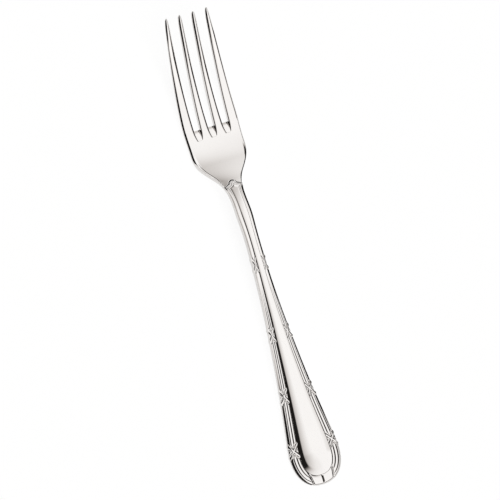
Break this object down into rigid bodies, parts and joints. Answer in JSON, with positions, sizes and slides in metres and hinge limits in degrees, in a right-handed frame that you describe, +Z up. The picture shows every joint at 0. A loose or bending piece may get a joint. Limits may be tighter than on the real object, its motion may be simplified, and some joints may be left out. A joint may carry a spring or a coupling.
{
  "type": "serving fork",
  "caption": "Long polished serving fork with tapered curved tines, a shouldered head, a slim arched stem and a spreading handle with a reeded, ribbon-tied border.",
  "frame": {"origin": "middle of the fork's bounding box, on the table that it lies on", "axes": "+Y towards the tine tips, +X to the right seen from the front, +Z up out of the front face"},
  "size_m": [0.0304, 0.24, 0.0157],
  "materials": {
    "polished_steel": "mirror-polished stainless steel, slightly warm"
  },
  "bodies": {
    "root": {"outer_left_tine": "polished_steel", "inner_left_tine": "polished_steel", "inner_right_tine": "polished_steel", "outer_right_tine": "polished_steel", "head": "polished_steel", "neck": "polished_steel", "stem": "polished_steel", "handle": "polished_steel", "handle_end": "polished_steel"}
  },
  "joints": []
}
